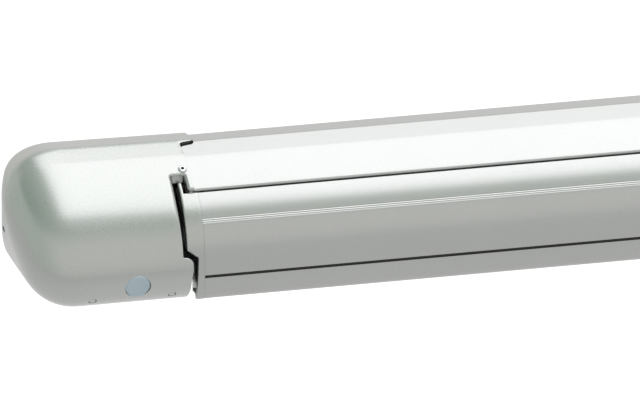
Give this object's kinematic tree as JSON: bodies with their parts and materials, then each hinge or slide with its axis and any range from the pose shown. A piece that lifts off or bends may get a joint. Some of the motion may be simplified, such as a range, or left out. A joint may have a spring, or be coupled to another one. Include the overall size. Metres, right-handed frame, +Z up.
{
  "type": "roll out awning",
  "caption": "Wall-mounted cassette awning: a slim case with rounded end caps, a folding-arm lead bar that draws a fabric canopy off a motorised roller, and fold-down telescopic legs.",
  "frame": {"origin": "midway between the two bolts of the middle wall bracket, on the wall plane", "axes": "+X along the case to the right as seen from the front, +Y into the wall, +Z up"},
  "size_m": [2.5998, 0.1758, 0.1512],
  "materials": {
    "extrusion": "satin silver",
    "cap": "satin silver",
    "casting": "matt",
    "plain_metal": "plain",
    "steel": "zinc plated",
    "seal": "matt",
    "black_plastic": "matt",
    "bush": "plain",
    "plug": "matt",
    "cloth": "woven"
  },
  "bodies": {
    "root": {"case_profile": "extrusion", "left_end_cap": "cap", "right_end_cap": "cap", "left_end_plate": "plain_metal", "right_end_plate": "plain_metal", "motor_head": "casting", "motor_tube": "plain_metal", "override_gearbox": "casting", "idler_pin": "steel", "shoulder_brackets": "casting", "shoulder_pins": "steel", "wall_brackets": "steel", "bracket_screws": "steel", "cap_screws": "steel", "plate_screws": "steel", "lip_seal": "seal", "cable_gland": "black_plastic", "cover_plugs": "cap"},
    "roller": {"roller_tube": "plain_metal", "crown_adapter": "black_plastic", "drive_wheel": "black_plastic", "idler_plug": "black_plastic", "idler_bush": "bush", "fabric_roll": "cloth"},
    "canopy": {"canopy_fabric": "cloth"},
    "left_upper_arm": {"left_upper_arm_tube": "extrusion", "left_shoulder_knuckle": "casting", "left_elbow_fork": "casting", "left_elbow_pin": "steel", "left_arm_spring": "steel"},
    "left_forearm": {"left_forearm_tube": "extrusion", "left_elbow_tongue": "casting", "left_wrist_knuckle": "casting"},
    "right_upper_arm": {"right_upper_arm_tube": "extrusion", "right_shoulder_knuckle": "casting", "right_elbow_fork": "casting", "right_elbow_pin": "steel", "right_arm_spring": "steel"},
    "right_forearm": {"right_forearm_tube": "extrusion", "right_elbow_tongue": "casting", "right_wrist_knuckle": "casting"},
    "lead_bar": {"lead_bar_profile": "extrusion", "lead_bar_left_end": "cap", "lead_bar_right_end": "cap", "front_strip": "seal", "front_bead": "black_plastic", "wrist_brackets": "casting", "wrist_pins": "steel", "leg_brackets": "steel", "leg_pins": "steel"},
    "left_leg": {"left_leg_tube": "extrusion", "left_leg_knuckle": "casting"},
    "left_leg_inner": {"left_leg_inner": "plain_metal", "left_foot": "seal"},
    "right_leg": {"right_leg_tube": "extrusion", "right_leg_knuckle": "casting"},
    "right_leg_inner": {"right_leg_inner": "plain_metal", "right_foot": "seal"},
    "plug": {"override_plug": "plug"},
    "crank_shaft": {"override_shaft": "steel"}
  },
  "joints": [
    {"name": "left_shoulder", "type": "hinge", "parent": "root", "child": "left_upper_arm", "pos_m": [-1.06, -0.046, -0.042], "axis": [0, 0.1736, -0.9848], "range_deg": [0, 63.1]},
    {"name": "left_elbow", "type": "hinge", "parent": "left_upper_arm", "child": "left_forearm", "pos_m": [-0.04, -0.06373, -0.04513], "axis": [0, -0.1736, 0.9848], "range_deg": [0, 126.3]},
    {"name": "left_wrist", "type": "hinge", "parent": "left_forearm", "child": "lead_bar", "pos_m": [-1.06, -0.08145, -0.04825], "axis": [0, 0.1736, -0.9848], "range_deg": [0, 63.2]},
    {"name": "right_shoulder", "type": "hinge", "parent": "root", "child": "right_upper_arm", "pos_m": [1.06, -0.046, -0.042], "axis": [0, -0.1736, 0.9848], "range_deg": [0, 63.2]},
    {"name": "right_elbow", "type": "hinge", "parent": "right_upper_arm", "child": "right_forearm", "pos_m": [0.04, -0.06373, -0.04513], "axis": [0, 0.1736, -0.9848], "range_deg": [0, 126.3]},
    {"name": "roller_spin", "type": "hinge", "parent": "root", "child": "roller", "pos_m": [0, -0.06, 0.015], "axis": [1, 0, 0], "range_deg": [0, 3178]},
    {"name": "canopy_slide", "type": "slide", "parent": "root", "child": "canopy", "axis": [0, -0.9848, -0.1736], "range_m": [0, 1.8016], "deforming": ["canopy_fabric"]},
    {"name": "left_leg_swing", "type": "hinge", "parent": "lead_bar", "child": "left_leg", "pos_m": [-1.065, -0.1414, -0.0575], "axis": [0, 1, 0], "range_deg": [0, 90]},
    {"name": "left_leg_slide", "type": "slide", "parent": "left_leg", "child": "left_leg_inner", "axis": [1, 0, 0], "range_m": [0, 0.751]},
    {"name": "right_leg_swing", "type": "hinge", "parent": "lead_bar", "child": "right_leg", "pos_m": [1.065, -0.1414, -0.0575], "axis": [0, -1, 0], "range_deg": [0, 90]},
    {"name": "right_leg_slide", "type": "slide", "parent": "right_leg", "child": "right_leg_inner", "axis": [-1, 0, 0], "range_m": [0, 0.751]},
    {"name": "plug_pull", "type": "slide", "parent": "root", "child": "plug", "axis": [0, -0.9397, -0.342], "range_m": [0, 0.03]},
    {"name": "crank_spin", "type": "hinge", "parent": "root", "child": "crank_shaft", "pos_m": [-1.176, -0.17231, -0.04962], "axis": [0, -0.9397, -0.342], "range_deg": [0, 12710]}
  ],
  "couplings": [
    {"joint": "left_elbow", "follows": "left_shoulder", "ratio": 2},
    {"joint": "left_wrist", "follows": "left_shoulder", "ratio": 1},
    {"joint": "right_shoulder", "follows": "left_shoulder", "ratio": 1},
    {"joint": "right_elbow", "follows": "left_shoulder", "ratio": 2},
    {"joint": "roller_spin", "follows": "left_shoulder", "ratio": 50.278},
    {"joint": "canopy_slide", "follows": "left_shoulder", "m_per_rad": 1.634},
    {"joint": "crank_spin", "follows": "left_shoulder", "ratio": 201.11},
    {"joint": "left_leg_slide", "follows": "left_leg_swing", "m_per_rad": 0.47746},
    {"joint": "right_leg_slide", "follows": "right_leg_swing", "m_per_rad": 0.47746}
  ]
}
